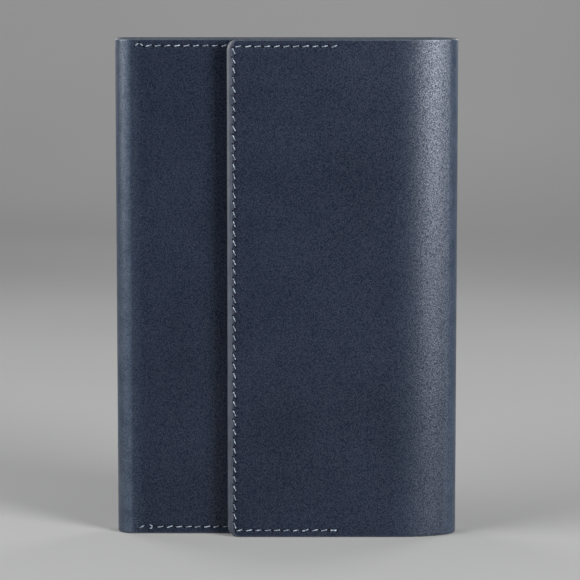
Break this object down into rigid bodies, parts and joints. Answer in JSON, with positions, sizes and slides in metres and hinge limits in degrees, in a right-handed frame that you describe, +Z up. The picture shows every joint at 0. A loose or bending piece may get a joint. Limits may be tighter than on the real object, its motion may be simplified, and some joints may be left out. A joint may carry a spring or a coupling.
{
  "type": "leather notebook folio",
  "caption": "Upright navy leather folio: a wrap-round flap closes by hidden magnets over a hinged front cover, with pockets, card slots, a pen loop and a refill notebook inside.",
  "frame": {"origin": "centre of the bounding box's bottom face, at the level of the lower edges it stands on", "axes": "+Z up the cover's height, +X from the spine towards the fore edge, +Y from the flap towards the back"},
  "size_m": [0.154, 0.0266, 0.225],
  "materials": {
    "navy_leather": "soft semi-matt pebbled navy leather with pale cut edges",
    "lining_leather": "thin smooth navy lining leather",
    "filler_board": "grey bonded filler board",
    "magnet_steel": "plated disc magnets",
    "thread": "waxed grey-blue thread",
    "cover_card": "matt slate card",
    "spine_cloth": "plain book cloth",
    "page_paper": "uncoated cream paper"
  },
  "bodies": {
    "back_cover": {"back_panel": "navy_leather", "back_stiffener": "filler_board", "back_pocket": "lining_leather", "pen_loop": "lining_leather", "back_stitching": "thread", "notebook_front_card": "cover_card", "notebook_back_card": "cover_card", "notebook_spine": "spine_cloth", "page_section_1": "page_paper", "page_section_2": "page_paper", "page_section_3": "page_paper", "page_section_4": "page_paper", "page_section_5": "page_paper"},
    "spine": {"spine_panel": "navy_leather"},
    "front_cover": {"front_panel": "navy_leather", "front_stiffener": "filler_board", "front_magnets": "magnet_steel", "front_pocket": "lining_leather", "front_stitching": "thread", "card_slot_stitching": "thread", "lower_card_slot": "lining_leather", "middle_card_slot": "lining_leather", "upper_card_slot": "lining_leather"},
    "fore_edge": {"fore_edge_panel": "navy_leather"},
    "flap": {"flap_panel": "navy_leather", "flap_facing": "lining_leather", "flap_magnets": "magnet_steel", "flap_stitching": "thread"}
  },
  "joints": [
    {"name": "fore_edge_fold", "type": "hinge", "parent": "back_cover", "child": "fore_edge", "pos_m": [0.07358, 0.00958, 0], "axis": [0, 0, 1], "range_deg": [0, 90]},
    {"name": "flap_fold", "type": "hinge", "parent": "fore_edge", "child": "flap", "pos_m": [0.07271, -0.00871, 0], "axis": [0, 0, 1], "range_deg": [0, 90]},
    {"name": "spine_fold", "type": "hinge", "parent": "back_cover", "child": "spine", "pos_m": [-0.07476, 0.01076, 0], "axis": [0, 0, -1], "range_deg": [0, 90]},
    {"name": "front_cover_fold", "type": "hinge", "parent": "spine", "child": "front_cover", "pos_m": [-0.07476, -0.00276, 0], "axis": [0, 0, -1], "range_deg": [0, 90]}
  ],
  "couplings": [
    {"joint": "fore_edge_fold", "follows": "flap_fold", "ratio": 1},
    {"joint": "spine_fold", "follows": "flap_fold", "ratio": 1},
    {"joint": "front_cover_fold", "follows": "flap_fold", "ratio": 1}
  ]
}
